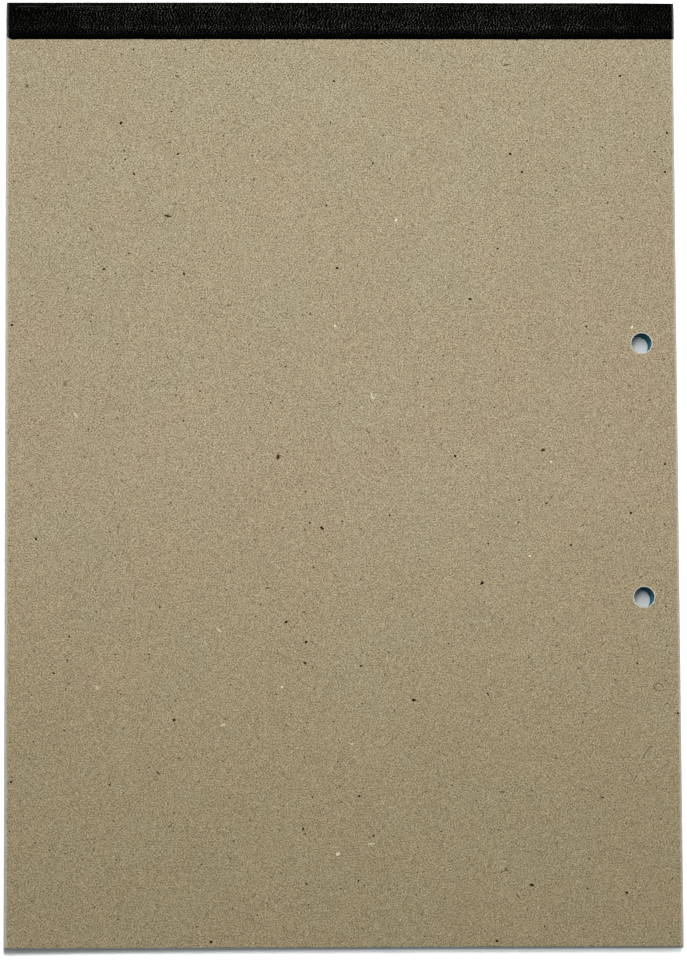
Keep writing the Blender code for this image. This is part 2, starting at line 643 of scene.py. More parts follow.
@dataclass(frozen=True)
class FleckFinish:
    """One tone of the larger bits pressed into the board."""

    name: str
    colour: Colour
    spread: float = 0.35

    def build(self) -> bpy.types.Material:
        """Makes the material."""
        g = Graph.finish(self.name)
        p = g.place()
        tone = 1.0 + (g.noise(p, 0.4 * MM, 2.0) - 0.5) * (2.0 * self.spread)
        return g.close(
            g.surface(g.mix(1.0, self.colour, tone, "MULTIPLY"), roughness=0.95, gloss=0.02)
        )


@dataclass(frozen=True)
class TapeFinish:
    """Black binding tape: ribbed grain with painted glints and painted sheen, smooth along its
    pressed edge.
    """

    pressed: Colour = (0.0006, 0.0005, 0.0005)
    dull: Colour = (0.0003, 0.0003, 0.0002)
    # Painted glint: the light colour laid on the crests of the grain
    painted_glint: Colour = (0.1050, 0.1060, 0.0830)
    # rubbed is the grey of the painted sheen on the fold and the painted highlight on the crease
    rubbed: Colour = (0.0500, 0.0500, 0.0450)
    # Grey at the cut ends: fraying with a painted edge highlight
    frayed_end_highlight: Colour = (0.1150, 0.1150, 0.1120)
    rib_pitch: float = 0.94 * MM
    rib_lean: float = 8.0
    tooth_size: float = 0.34 * MM
    grain_depth: float = 0.06 * MM
    pressed_width: float = 2.0 * MM
    # Where the painted sheen runs brighter: a row in from the lap's edge and one by the head
    painted_sheen_row: float = 3.7 * MM
    painted_sheen_head: float = 1.9 * MM
    # Widths of the painted sheen on the fold and of the painted highlight on the crease
    fold_sheen_width: float = 0.36 * MM
    crease_highlight_in: float = 1.30 * MM
    frayed_end_highlight_width: float = 1.1 * MM

    def build(self, pad: PadFrame) -> bpy.types.Material:
        """Makes the material.

        Args:
            pad: Where the tape is.

        Returns:
            The material.
        """
        g = Graph.finish("tape_grain")
        p = g.place()
        ribs, tone = self.ribs(g, p)
        fold, line, ends = self.sheen_and_end_shares(g, p, pad)
        # worn is the share of grain and of its painted glints and sheen, cleared on the fold and
        # crease
        worn = self.grain_and_sheen_share(g, p, pad) * (1.0 - fold.most(line))
        normal = g.bump(ribs * worn, self.grain_depth)
        ground = g.mix(worn, self.pressed, self.dull)
        # painted sheen along the fold and painted highlight along the crease
        ground = g.mix((fold * 0.70).most(line * 0.55), ground, self.rubbed)
        # fraying with a painted edge highlight at the cut ends
        ground = g.mix(ends, ground, self.frayed_end_highlight)
        valley = g.surface(ground, roughness=0.55, gloss=0.002, normal=normal)
        # painted glints: a light surface blended onto the crests
        painted_glint_surface = g.surface(self.painted_glint, roughness=0.42, gloss=0.08, normal=normal)
        return g.close(g.blend(tone * worn, valley, painted_glint_surface))

    def ribs(self, g: Graph, p: bpy.types.NodeSocket) -> tuple[Scalar, Scalar]:
        """The short broken ribs of the grain.

        Args:
            g: The graph.
            p: The point.

        Returns:
            Their height, and the share of painted glint on the crests, both from 0 to 1.
        """
        x, y, z = g.split(p)
        unfolded = g.node("ShaderNodeCombineXYZ", sockets={0: x, 1: y - z}).outputs[0]
        leaned = g.stretched(unfolded, (1.0, 1.5, 1.0), self.rib_lean)
        ridge = g.ripple(leaned, self.rib_pitch, 1.7, 0.70)
        tooth = g.noise(unfolded, self.tooth_size, 0.0) - 0.5
        height = (ridge - 0.5) * 4.0 + 0.5
        # tone is the share of painted glint on the crests
        tone = (height + tooth * 3.20).rise(0.55, 2.10)
        return height, tone

    def grain_and_sheen_share(self, g: Graph, p: bpy.types.NodeSocket, pad: PadFrame) -> Scalar:
        """How much of the grain and its painted glints show at a point.

        Args:
            g: The graph.
            p: The point.
            pad: Where the tape is.

        Returns:
            A share, 0 along the pressed edge, varying in patches, raised as painted sheen in two rows
            and lowered towards the cut ends.
        """
        x, y, _ = g.split(p)
        wander = (g.noise(p, 7.0 * MM, 2.0) - 0.5) * (1.6 * MM)
        inside = y - pad.tape_low.y + wander
        body = inside.rise(self.pressed_width * 0.3, self.pressed_width * 1.7)
        patch = 0.55 + g.noise(p, 9.0 * MM, 2.0).rise(0.34, 0.62) * 0.45
        # painted sheen: brighter rows along the lap and by the head, darker towards the cut ends
        sheen_row_share = abs(inside - self.painted_sheen_row).fall(0.1 * MM, 0.9 * MM)
        head = abs(pad.tape_high.y - y - self.painted_sheen_head).fall(0.1 * MM, 0.8 * MM)
        ends = (pad.tape_high.x - abs(x)).rise(2.0 * MM, 40.0 * MM)
        return body * patch * (0.64 + sheen_row_share * 0.50 + head * 0.30) * (0.46 + ends * 0.58)

    def sheen_and_end_shares(
        self, g: Graph, p: bpy.types.NodeSocket, pad: PadFrame
    ) -> tuple[Scalar, Scalar, Scalar]:
        """Where the tape shows grey: painted sheen on the fold, a painted highlight on the crease,
        and the cut ends.

        Args:
            g: The graph.
            p: The point.
            pad: Where the tape is.

        Returns:
            Shares of painted sheen along the folds, of painted highlight along the crease beside
            them, and of grey at the cut ends.
        """
        x, y, z = g.split(p)
        drop = (pad.tape_high.z - z).least(z - pad.tape_low.z)
        from_fold = pad.tape_high.y - y - drop
        fold = abs(from_fold).fall(0.05 * MM, self.fold_sheen_width)
        along = g.noise(g.stretched(p, (0.12, 1.0, 1.0)), 1.4 * MM, 3.0, 0.6)
        line = abs(from_fold - self.crease_highlight_in).fall(0.05 * MM, 0.26 * MM)
        fray = (g.noise(p, 0.8 * MM, 2.0) - 0.5) * (0.5 * MM)
        # cut ends: fraying with a painted edge highlight
        from_end = (x - pad.tape_low.x).least((pad.tape_high.x - x) * 2.0)
        ends = (from_end + fray).fall(0.0, self.frayed_end_highlight_width)
        return fold, line * along.rise(0.44, 0.60), ends * ends


@dataclass(frozen=True)
class PaperFinish:
    """A page of white writing paper with feint lines and a margin."""

    base: Colour = (0.800, 0.812, 0.790)
    line: Colour = (0.430, 0.560, 0.690)
    margin: Colour = (0.720, 0.420, 0.430)
    pitch: float = 8.0 * MM
    first_below_head: float = 32.0 * MM
    last_above_foot: float = 14.0 * MM
    half_line: float = 0.11 * MM
    margin_in: float = 28.0 * MM

    def build(self, pad: PadFrame) -> bpy.types.Material:
        """Makes the material.

        Args:
            pad: Where the page's outline is.

        Returns:
            The material.
        """
        g = Graph.finish("ruled_page")
        p = g.place()
        x, y, _ = g.split(p)
        first = pad.board_high.y - self.first_below_head
        step = (y - first) / self.pitch
        away = abs(step - step.nearest()) * self.pitch
        inside = y.fall(first + self.pitch * 0.4, first + self.pitch * 0.5) * y.rise(
            pad.board_low.y + self.last_above_foot - self.pitch * 0.5,
            pad.board_low.y + self.last_above_foot - self.pitch * 0.4,
        )
        ink = 0.78 + (g.noise(p, 0.5 * MM, 1.0) - 0.5) * 0.6
        ruled = away.fall(self.half_line * 0.7, self.half_line * 1.3) * inside * ink
        from_margin = abs(x - (pad.board_high.x - self.margin_in))
        margin = from_margin.fall(self.half_line * 0.7, self.half_line * 1.3) * ink
        tooth = g.noise(p, 0.9 * MM, 3.0, 0.6)
        paper = g.mix(1.0, self.base, 1.0 + (tooth - 0.5) * 0.07, "MULTIPLY")
        colour = g.mix(ruled, paper, self.line)
        colour = g.mix(margin, colour, self.margin)
        return g.close(
            g.surface(colour, roughness=0.86, gloss=0.20, normal=g.bump(tooth, 0.01 * MM))
        )


@dataclass(frozen=True)
class CutPaperFinish:
    """The cut edge of a sheet, greyed along the foot by painted shade."""

    name: str
    light: Colour
    dark: Colour
    painted_foot_shade: Colour = (0.30, 0.34, 0.335)
    painted_foot_shade_share: float = 0.0

    def build(self, foot: float = 0.0) -> bpy.types.Material:
        """Makes the material.

        Args:
            foot: Where the foot of the stack is, in Y.

        Returns:
            The material.
        """
        g = Graph.finish(self.name)
        p = g.place()
        streak = g.noise(g.stretched(p, (0.5, 0.5, 6.0)), 1.2 * MM, 2.0, 0.6)
        colour = g.mix(streak.rise(0.32, 0.68), self.dark, self.light)
        if self.painted_foot_shade_share:
            y = g.split(p)[1]
            # painted shade greys the edges along the foot
            painted_foot_shade_mask = y.fall(foot + 0.3 * MM, foot + 2.0 * MM) * self.painted_foot_shade_share
            colour = g.mix(painted_foot_shade_mask, colour, self.painted_foot_shade)
        return g.close(g.surface(colour, roughness=0.95, gloss=0.10))


@dataclass(frozen=True)
class CoverFinish:
    """Coloured card with a fine felt texture, rubbed pale along its edges."""

    base: Colour = (0.055, 0.190, 0.262)
    deep: Colour = (0.042, 0.158, 0.224)
    rubbed: Colour = (0.340, 0.440, 0.480)

    def build(self, pad: PadFrame) -> bpy.types.Material:
        """Makes the material.

        Args:
            pad: Where the cover's outline is.

        Returns:
            The material.
        """
        g = Graph.finish("cover_face")
        p = g.place()
        x, y, _ = g.split(p)
        felt = g.noise(p, 0.8 * MM, 3.0, 0.65)
        cloud = g.noise(p, 18.0 * MM, 3.0)
        colour = g.mix((felt * 0.7 + cloud * 0.3).rise(0.35, 0.65), self.deep, self.base)
        edge = (pad.cover_high.x - abs(x)).least(y - pad.cover_low.y)
        fray = (g.noise(p, 2.0 * MM, 3.0) - 0.5) * (1.2 * MM)
        colour = g.mix((edge + fray).fall(0.05 * MM, 0.50 * MM) * 0.6, colour, self.rubbed)
        return g.close(
            g.surface(colour, roughness=0.62, gloss=0.30, normal=g.bump(felt, 0.03 * MM))
        )


@dataclass(frozen=True)
class GlueFinish:
    """Dried padding glue, brushed on along the head."""

    thin: Colour = (0.560, 0.530, 0.450)
    thick: Colour = (0.720, 0.700, 0.640)

    def build(self) -> bpy.types.Material:
        """Makes the material."""
        g = Graph.finish("dried_glue")
        p = g.place()
        brushed = g.noise(g.stretched(p, (0.08, 1.0, 1.0)), 0.7 * MM, 3.0, 0.6)
        colour = g.mix(brushed.rise(0.35, 0.65), self.thin, self.thick)
        normal = g.bump(brushed, 0.04 * MM)
        return g.close(g.surface(colour, roughness=0.42, gloss=0.40, normal=normal))


@dataclass(frozen=True)
class FloorFinish:
    """A pale table that turns white to the eye a little way from the pad, keeps its shadow and has
    painted shade round the pad.
    """

    colour: Colour = (0.82, 0.85, 0.85)
    white: Colour = (3.00, 3.03, 3.03)
    near: float = 0.30
    far: float = 0.50
    half_x: float = 105.0 * MM
    half_y: float = 148.7 * MM
    shade_band_width: float = 2.3 * MM
    side_hurry: float = 1.6
    foot_hurry: float = 2.45
    right_hurry: float = 1.75

    def build(self) -> bpy.types.Material:
        """Makes the material."""
        g = Graph.finish("pale_table")
        p = g.place()
        x, y, _ = g.split(p)
        # painted shade: the table keeps its plain colour in a band round the pad, widest at the
        # foot's left and narrowest at its right
        hurry = self.foot_hurry + (x * (self.right_hurry / self.half_x)).least(self.right_hurry)
        beside = (abs(x) - self.half_x) * self.side_hurry
        away = beside.most((abs(y) - self.half_y) * hurry).rise(0.0, self.shade_band_width)
        cloudy = 0.99 + (g.noise(p, 0.4, 2.0) - 0.5) * 0.02
        plain = g.node("ShaderNodeBsdfDiffuse", sockets={"Color": self.colour}).outputs[0]
        white = g.node("ShaderNodeBsdfDiffuse", sockets={"Color": self.white}).outputs[0]
        shown = g.blend(g.looked_at() * away * cloudy, plain, white)
        glow = g.node("ShaderNodeEmission", sockets={"Color": WHITE, "Strength": 1.0}).outputs[0]
        beyond = ((x * x + y * y) ** 0.5).rise(self.near, self.far)
        return g.close(g.blend(g.looked_at() * beyond, shown, glow))


def wobble(place: Vec3, size: float) -> float:
    """Smooth noise from about -1 to 1.

    Args:
        place: The point.
        size: Size of one swell in metres.

    Returns:
        The noise at the point.
    """
    return noise.noise(Vector(place) / size)


def cut_at(work: bmesh.types.BMesh, spot: Vec3, facing: Vec3, clear: bool = False) -> None:
    """Cuts all the faces of a mesh along a plane.

    Args:
        work: The mesh.
        spot: A point of the plane.
        facing: The plane's normal.
        clear: Whether what lies in front of the plane is taken away.
    """
    bmesh.ops.bisect_plane(
        work,
        geom=work.verts[:] + work.edges[:] + work.faces[:],
        plane_co=spot,
        plane_no=facing,
        clear_outer=clear,
    )


def lean(work: bmesh.types.BMesh, head_y: float, turn: float, shift: float) -> None:
    """Turns a leaf about the middle of its head, then shifts it along the head.

    Args:
        work: The leaf.
        head_y: Where its head is.
        turn: Turn about Z in radians.
        shift: Shift along X.
    """
    matrix = Matrix.Rotation(turn, 3, "Z")
    bmesh.ops.rotate(work, cent=(0.0, head_y, 0.0), matrix=matrix, verts=work.verts)
    bmesh.ops.translate(work, vec=(shift, 0.0, 0.0), verts=work.verts)


def finished(
    name: str, work: bmesh.types.BMesh, finishes: Sequence[bpy.types.Material]
) -> bpy.types.Object:
    """Turns a bmesh into a piece in the scene.

    Args:
        name: The piece's name.
        work: Its mesh, which is freed.
        finishes: Its materials, in the order of the faces' numbers.

    Returns:
        The piece.
    """
    mesh = bpy.data.meshes.new(name)
    work.to_mesh(mesh)
    work.free()
    for finish in finishes:
        mesh.materials.append(finish)
    piece = bpy.data.objects.new(name, mesh)
    bpy.context.scene.collection.objects.link(piece)
    return piece


@dataclass
class PunchedLeaf:
    """A flat leaf with two filing holes: a board, a sheet or a cover."""

    low: Vector
    high: Vector
    holes: Sequence[Vec2]
    hole_radius: float
    hole_sides: int = 64
    ring: float = 0.0
    corner: float = 0.0
    rim: float = 0.0
    rough: float = 0.0
    rough_step: float = 2.0 * MM
    rough_size: float = 3.1 * MM

    def build(self) -> bmesh.types.BMesh:
        """Builds the leaf.

        Returns:
            Its mesh. Faces are numbered 0 on the flat faces, 1 on the outer edge and 2 in
            the holes.
        """
        work = bmesh.new()
        bmesh.ops.create_grid(work, x_segments=1, y_segments=1, size=0.5)
        size = self.high - self.low
        middle = (self.high + self.low) / 2
        bmesh.ops.scale(work, vec=(size.x, size.y, 1.0), verts=work.verts)
        bmesh.ops.translate(work, vec=(middle.x, middle.y, self.low.z), verts=work.verts)
        if self.corner:
            bmesh.ops.bevel(
                work,
                geom=work.verts[:],
                offset=self.corner,
                segments=4,
                profile=0.5,
                affect="VERTICES",
                material=-1,
            )
        bmesh.ops.delete(work, geom=work.faces[:], context="FACES_ONLY")
        if self.rough:
            self.roughen(work)
        for x, y in self.holes:
            bmesh.ops.create_circle(
                work,
                segments=self.hole_sides,
                radius=self.hole_radius,
                matrix=Matrix.Translation((x, y, self.low.z)),
            )
        bmesh.ops.triangle_fill(work, use_beauty=True, edges=work.edges[:])
        if self.ring:
            bmesh.ops.inset_region(
                work,
                faces=work.faces[:],
                thickness=self.ring,
                use_boundary=True,
                use_even_offset=True,
            )
        grown = bmesh.ops.extrude_face_region(work, geom=work.faces[:])
        risen = [part for part in grown["geom"] if isinstance(part, bmesh.types.BMVert)]
        bmesh.ops.translate(work, vec=(0.0, 0.0, size.z), verts=risen)
        bmesh.ops.recalc_face_normals(work, faces=work.faces[:])
        if self.rim:
            self.soften(work)
        self.number(work)
        return work

    def roughen(self, work: bmesh.types.BMesh) -> None:
        """Breaks the outline into short steps and moves them a little, as a blunt cut does."""
        for edge in work.edges[:]:
            cuts = int(edge.calc_length() / self.rough_step)
            if cuts:
                bmesh.ops.subdivide_edges(work, edges=[edge], cuts=cuts)
        for vert in work.verts:
            x, y, _ = vert.co
            vert.co.x += self.rough * wobble((x, y, 0.31), self.rough_size)
            vert.co.y += self.rough * wobble((x, y, 0.77), self.rough_size)

    def soften(self, work: bmesh.types.BMesh) -> None:
        """Rounds the sharp rims of the outline and the holes."""
        sharp = [
            edge
            for edge in work.edges
            if len(edge.link_faces) == 2
            and edge.calc_face_angle() > math.radians(60)
            and abs(edge.verts[0].co.z - edge.verts[1].co.z) < LEVEL
        ]
        bmesh.ops.bevel(
            work,
            geom=sharp,
            offset=self.rim,
            segments=2,
            profile=0.5,
            affect="EDGES",
            material=-1,
        )

    def number(self, work: bmesh.types.BMesh) -> None:
        """Numbers the faces by where they are."""
        work.normal_update()
        for face in work.faces:
            middle = face.calc_center_median()
            away = min(math.hypot(middle.x - x, middle.y - y) for x, y in self.holes)
            if away < self.hole_radius + self.ring and (self.ring or abs(face.normal.z) < STEEP):
                face.material_index = 2
            elif abs(face.normal.z) < STEEP:
                face.material_index = 1


class Tone(Enum):
    """Tones of the bits in the board."""

    DARK = 0
    UMBER = 1
    BROWN = 2
    FAINT = 3
    PALE = 4
    BRIGHT = 5


class Form(Enum):
    """Forms of the bits in the board, by how many degrees they are bent."""

    BIT = 0.0
    HAIR = 50.0
    CURL = 330.0


@dataclass(frozen=True)
class Fleck:
    """One larger bit pressed into the board.

    pixel is its middle in the 687 x 960 frame of the photograph, length and width are in
    millimetres, and turn is in degrees from +X, anticlockwise.
    """

    pixel: Vec2
    length: float
    width: float
    turn: float = 0.0
    tone: Tone = Tone.DARK
    form: Form = Form.BIT


# The clearest bits, read from enlarged views of the photograph
FLECKS: tuple[Fleck, ...] = (
    Fleck((620, 76), 0.7, 0.55, 20),
    Fleck((121, 123), 1.1, 0.65, 55),
    Fleck((667, 133), 0.9, 0.5, 115),
    Fleck((178, 154), 0.8, 0.55),
    Fleck((510, 154), 1.0, 0.55, 150),
    Fleck((522, 172), 0.7, 0.6),
    Fleck((665, 172), 0.9, 0.5, 130),
    Fleck((134, 174), 0.9, 0.4, 130),
    Fleck((337, 268), 0.75, 0.7),
    Fleck((104, 269), 0.9, 0.55, 25),
    Fleck((184, 274), 1.0, 0.5, 100),
    Fleck((470, 299), 0.7, 0.6),
    Fleck((12, 325), 0.7, 0.6),
    Fleck((543, 450), 1.1, 0.9, 10, Tone.UMBER),
    Fleck((455, 456), 0.8, 0.55, 130),
    Fleck((665, 464), 0.8, 0.5, 60),
    Fleck((547, 503), 1.0, 0.4, 25),
    Fleck((631, 513), 0.8, 0.65),
    Fleck((322, 528), 1.3, 0.6, 140),
    Fleck((36, 539), 0.9, 0.45, 135),
    Fleck((571, 545), 0.9, 0.4, 25),
    Fleck((482, 583), 1.3, 0.6, 45),
    Fleck((286, 622), 0.9, 0.65, 20),
    Fleck((306, 642), 0.75, 0.6),
    Fleck((305, 663), 0.75, 0.5, 150),
    Fleck((361, 666), 0.7, 0.55),
    Fleck((488, 694), 0.9, 0.35, 130),
    Fleck((414, 700), 1.2, 0.65),
    Fleck((678, 713), 0.6, 0.5),
    Fleck((174, 720), 0.8, 0.6),
    Fleck((11, 782), 0.75, 0.5),
    Fleck((359, 796), 0.75, 0.5, 20),
    Fleck((303, 829), 0.8, 0.45, 75),
    Fleck((532, 885), 1.3, 0.65, 170),
    Fleck((627, 893), 0.75, 0.6),
    Fleck((497, 941), 0.9, 0.5, 160),
    Fleck((211, 942), 0.9, 0.65),
    Fleck((168, 216), 2.4, 0.6, 170, Tone.UMBER),
    Fleck((278, 457), 1.6, 0.85, 80, Tone.UMBER),
    Fleck((506, 65), 2.0, 0.4, 15, Tone.BROWN),
    Fleck((177, 76), 1.3, 0.45, 160, Tone.BROWN),
    Fleck((27, 86), 1.1, 0.65, 90, Tone.BROWN),
    Fleck((622, 218), 1.0, 0.4, 140, Tone.BROWN),
    Fleck((91, 229), 1.3, 0.35, 145, Tone.BROWN),
    Fleck((368, 431), 2.2, 0.3, 125, Tone.BROWN, Form.HAIR),
    Fleck((268, 588), 1.5, 0.5, 10, Tone.BROWN),
    Fleck((658, 687), 7.0, 0.3, 70, Tone.BROWN, Form.CURL),
    Fleck((647, 752), 5.0, 0.28, 55, Tone.BROWN, Form.HAIR),
    Fleck((158, 773), 1.3, 0.55, 140, Tone.BROWN),
    Fleck((502, 792), 1.8, 0.35, 0, Tone.BROWN),
    Fleck((505, 871), 2.8, 0.3, 15, Tone.BROWN, Form.HAIR),
    Fleck((518, 896), 2.0, 0.35, 125, Tone.BROWN),
    Fleck((65, 384), 1.7, 1.1, 95, Tone.FAINT),
    Fleck((76, 415), 2.0, 0.5, 125, Tone.PALE),
    Fleck((219, 630), 2.2, 0.5, 130, Tone.PALE),
    Fleck((97, 688), 1.9, 0.55, 115, Tone.PALE),
    Fleck((223, 725), 1.8, 0.7, 10, Tone.PALE),
    Fleck((371, 844), 2.4, 0.45, 5, Tone.PALE),
    Fleck((396, 220), 1.1, 0.5, 60, Tone.BRIGHT),
    Fleck((335, 326), 0.7, 0.45, 60, Tone.BRIGHT),
    Fleck((632, 327), 0.9, 0.35, 60, Tone.BRIGHT),
    Fleck((372, 396), 2.4, 0.35, 110, Tone.BRIGHT, Form.HAIR),
    Fleck((551, 462), 0.6, 0.35, 120, Tone.BRIGHT),
    Fleck((530, 556), 0.7, 0.45, 0, Tone.BRIGHT),
    Fleck((282, 687), 0.8, 0.5, 30, Tone.BRIGHT),
    Fleck((352, 744), 0.65, 0.4, 20, Tone.BRIGHT),
    Fleck((338, 854), 1.2, 0.9, 30, Tone.BRIGHT),
)


@dataclass(frozen=True)
class PhotoCamera:
    """The camera at the photograph's place. turn is a rotation vector in degrees."""

    spot: Vec3 = (-0.0472, -0.2461, 1.9054)
    turn: Vec3 = (7.298, -1.416, -0.180)
    focal_pixels: float = 6131.0
    sensor_mm: float = 36.0

    def rotation(self) -> Matrix:
        """The camera's axes, as columns."""
        axis = Vector(self.turn)
        return Matrix.Rotation(math.radians(axis.length), 3, axis.normalized())

    def build(self) -> bpy.types.Object:
        """Adds the camera to the scene.

        Returns:
            The camera.
        """
        data = bpy.data.cameras.new("photo_camera")
        data.sensor_width = self.sensor_mm
        data.lens = self.focal_pixels * self.sensor_mm / PHOTO_HEIGHT
        data.clip_start = 0.1
        data.clip_end = 60.0
        data.dof.use_dof = False
        camera = bpy.data.objects.new("photo_camera", data)
        camera.matrix_world = Matrix.Translation(self.spot) @ self.rotation().to_4x4()
        bpy.context.scene.collection.objects.link(camera)
        bpy.context.scene.camera = camera
        return camera

    def point_at(self, pixel: Vec2, height: float) -> Vector:
        """The point that a pixel shows on a level plane.

        Args:
            pixel: Place in the photograph's frame.
            height: Height of the plane.

        Returns:
            The point.
        """
        ray = self.rotation() @ Vector(
            (
                (pixel[0] - PHOTO_WIDTH / 2) / self.focal_pixels,
                (PHOTO_HEIGHT / 2 - pixel[1]) / self.focal_pixels,
                -1.0,
            )
        )
        spot = Vector(self.spot)
        return spot + ray * ((height - spot.z) / ray.z)


@dataclass
class BackBoard:
    """The greyboard back with the larger bits that are pressed into its face.

    stain is how much wider a bit shows than it is, because it colours the pulp round it. speck_x
    and speck_y are in pixels of the photograph, and a speck's length and width in millimetres.
    """

    pad: PadFrame
    camera: PhotoCamera
    finish: GreyboardFinish = field(default_factory=GreyboardFinish)
    edge: BoardEdgeFinish = field(default_factory=BoardEdgeFinish)
    corner: float = 0.45 * MM
    rim: float = 0.10 * MM
    rough: float = 0.05 * MM
    fleck_height: float = 0.05 * MM
    ragged: float = 0.18 * MM
    ragged_size: float = 0.5 * MM
    stain: float = 0.18 * MM
    speck_count: int = 60
    speck_seed: int = 7
    speck_x: Vec2 = (14.0, 668.0)
    speck_y: Vec2 = (46.0, 940.0)
    speck_length: Vec2 = (0.38, 0.52)
    speck_width: Vec2 = (0.30, 0.42)
    speck_gap: float = 1.0 * MM

    def build(self) -> list[bpy.types.Object]:
        """Builds and dresses the board and its flecks.

        Returns:
            The pieces.
        """
        return [self.plate(), self.flecks()]

    def plate(self) -> bpy.types.Object:
        """Builds the punched plate."""
        leaf = PunchedLeaf(
            self.pad.board_low,
            self.pad.board_high,
            self.pad.holes(),
            self.pad.hole_radius,
            hole_sides=96,
            corner=self.corner,
            rim=self.rim,
            rough=self.rough,
        )
        cut = self.edge.build()
        piece = finished("board_plate", leaf.build(), [self.finish.build(self.pad), cut, cut])
        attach(piece, "back_board")
        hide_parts("back_board")
        return piece

    def specks(self) -> list[Fleck]:
        """Scatters the smallest dark bits over the face, clear of the holes."""
        draw = random.Random(self.speck_seed)
        clear = self.pad.hole_radius + self.speck_gap
        found: list[Fleck] = []
        while len(found) < self.speck_count:
            speck = Fleck(
                (draw.uniform(*self.speck_x), draw.uniform(*self.speck_y)),
                draw.uniform(*self.speck_length),
                draw.uniform(*self.speck_width),
                draw.uniform(0.0, 180.0),
            )
            spot = self.camera.point_at(speck.pixel, self.pad.board_high.z).xy
            if all((spot - Vector(hole)).length > clear for hole in self.pad.holes()):
                found.append(speck)
        return found

    def flecks(self) -> bpy.types.Object:
        """Builds the larger bits, each a thin lens or fibre half sunk in the face."""
        work = bmesh.new()
        for fleck in [*FLECKS, *self.specks()]:
            before = set(work.faces)
            length, width = fleck.length * MM, fleck.width * MM
            spot = self.camera.point_at(fleck.pixel, self.pad.board_high.z)
            place = Matrix.Translation(spot) @ Matrix.Rotation(math.radians(fleck.turn), 4, "Z")
            if fleck.form is Form.BIT:
                stained = (length + self.stain, width + self.stain)
                size = Matrix.Diagonal((*stained, self.fleck_height, 1.0))
                bmesh.ops.create_icosphere(work, subdivisions=2, radius=0.5, matrix=place @ size)
            else:
                self.fibre(work, length, width, math.radians(fleck.form.value), place)
            for face in work.faces:
                if face not in before:
                    face.material_index = fleck.tone.value
        for vert in work.verts:
            x, y, _ = vert.co
            vert.co.x += self.ragged * wobble((x, y, 0.2), self.ragged_size)
            vert.co.y += self.ragged * wobble((x, y, 0.6), self.ragged_size)
        finishes = [
            FleckFinish("fleck_dark", (0.020, 0.012, 0.005)),
            FleckFinish("fleck_umber", (0.066, 0.049, 0.020)),
            FleckFinish("fleck_brown", (0.175, 0.134, 0.074)),
            FleckFinish("fleck_faint", (0.280, 0.232, 0.142)),
            FleckFinish("fleck_pale", (0.720, 0.640, 0.435), 0.20),
            FleckFinish("fleck_bright", (0.920, 0.840, 0.630), 0.20),
        ]
        piece = finished("board_flecks", work, [finish.build() for finish in finishes])
        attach(piece, "back_board")
        return piece

    def fibre(
        self, work: bmesh.types.BMesh, length: float, width: float, bend: float, place: Matrix
    ) -> None:
        """Adds a bent fibre: a thin flat section turned through part of a ring.

        Args:
            work: The mesh that it is added to.
            length: Length along the fibre.
            width: Width of the fibre.
            bend: Angle of the ring that it covers, in radians.
            place: Where its middle lies.
        """
        radius = length / bend
        middle = radius * math.sin(bend / 2) / (bend / 2)
        flat = Matrix.Diagonal((1.0, 1.0, self.fleck_height / width, 1.0))
        ring = place @ flat @ Matrix.Translation((0.0, -middle, 0.0))
        outwards = Matrix.Rotation((math.pi - bend) / 2, 4, "Z")
        upright = Matrix.Translation((radius, 0.0, 0.0)) @ Matrix.Rotation(math.pi / 2, 4, "X")
        section = bmesh.ops.create_circle(
            work, cap_ends=True, segments=6, radius=width / 2, matrix=ring @ outwards @ upright
        )
        faces = list({face for vert in section["verts"] for face in vert.link_faces})
        bmesh.ops.spin(
            work,
            geom=faces,
            cent=ring.translation,
            axis=(0.0, 0.0, 1.0),
            angle=bend,
            steps=16,
            use_duplicate=False,
        )


@dataclass
class RuledBlock:
    """The block of sheets, a little askew as a handled pad is."""

    pad: PadFrame
    page: PaperFinish = field(default_factory=PaperFinish)
    count: int = 50
    hole_sides: int = 48
    # ring is a band of the hole walls' painted shade on each sheet's face round the holes
    ring: float = 0.15 * MM
    lean_head: float = -0.02 * MM
    lean_foot: float = -0.50 * MM
    scatter: float = 0.05 * MM

    def build(self) -> list[bpy.types.Object]:
        """Builds and dresses every sheet.

        Returns:
            The pieces.
        """
        finishes = [
            self.page.build(self.pad),
            CutPaperFinish(
                "page_edge", (0.88, 0.90, 0.88), (0.62, 0.66, 0.65), painted_foot_shade_share=0.55
            ).build(self.pad.board_low.y),
            # Painted shade: the hole walls are dark teal where the paper is white and in shadow
            CutPaperFinish("page_punched", (0.072, 0.285, 0.385), (0.017, 0.128, 0.196)).build(),
        ]
        return [self.sheet(number, finishes) for number in range(1, self.count + 1)]

    def sheet(self, number: int, finishes: Sequence[bpy.types.Material]) -> bpy.types.Object:
        """Builds one sheet.

        Args:
            number: Its number, 1 next to the cover.
            finishes: Materials of its faces, edge and holes.

        Returns:
            The piece.
        """
        node = f"sheet_{number:02d}"
        low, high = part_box(node)
        depth = (self.count - number) / self.count
        leaf = PunchedLeaf(
            low, high, self.pad.holes(depth), self.pad.hole_radius, self.hole_sides, self.ring
        )
        work = leaf.build()
        drift = self.scatter * (2.0 * ((number * GOLDEN) % 1.0) - 1.0)
        shift = self.lean_head * depth + drift
        turn = (self.lean_foot - self.lean_head) * depth / (high.y - low.y)
        lean(work, high.y, turn, shift)
        piece = finished(f"page_{number:02d}", work, finishes)
        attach(piece, "pad_block" if number == 1 else node)
        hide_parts(node)
        return piece


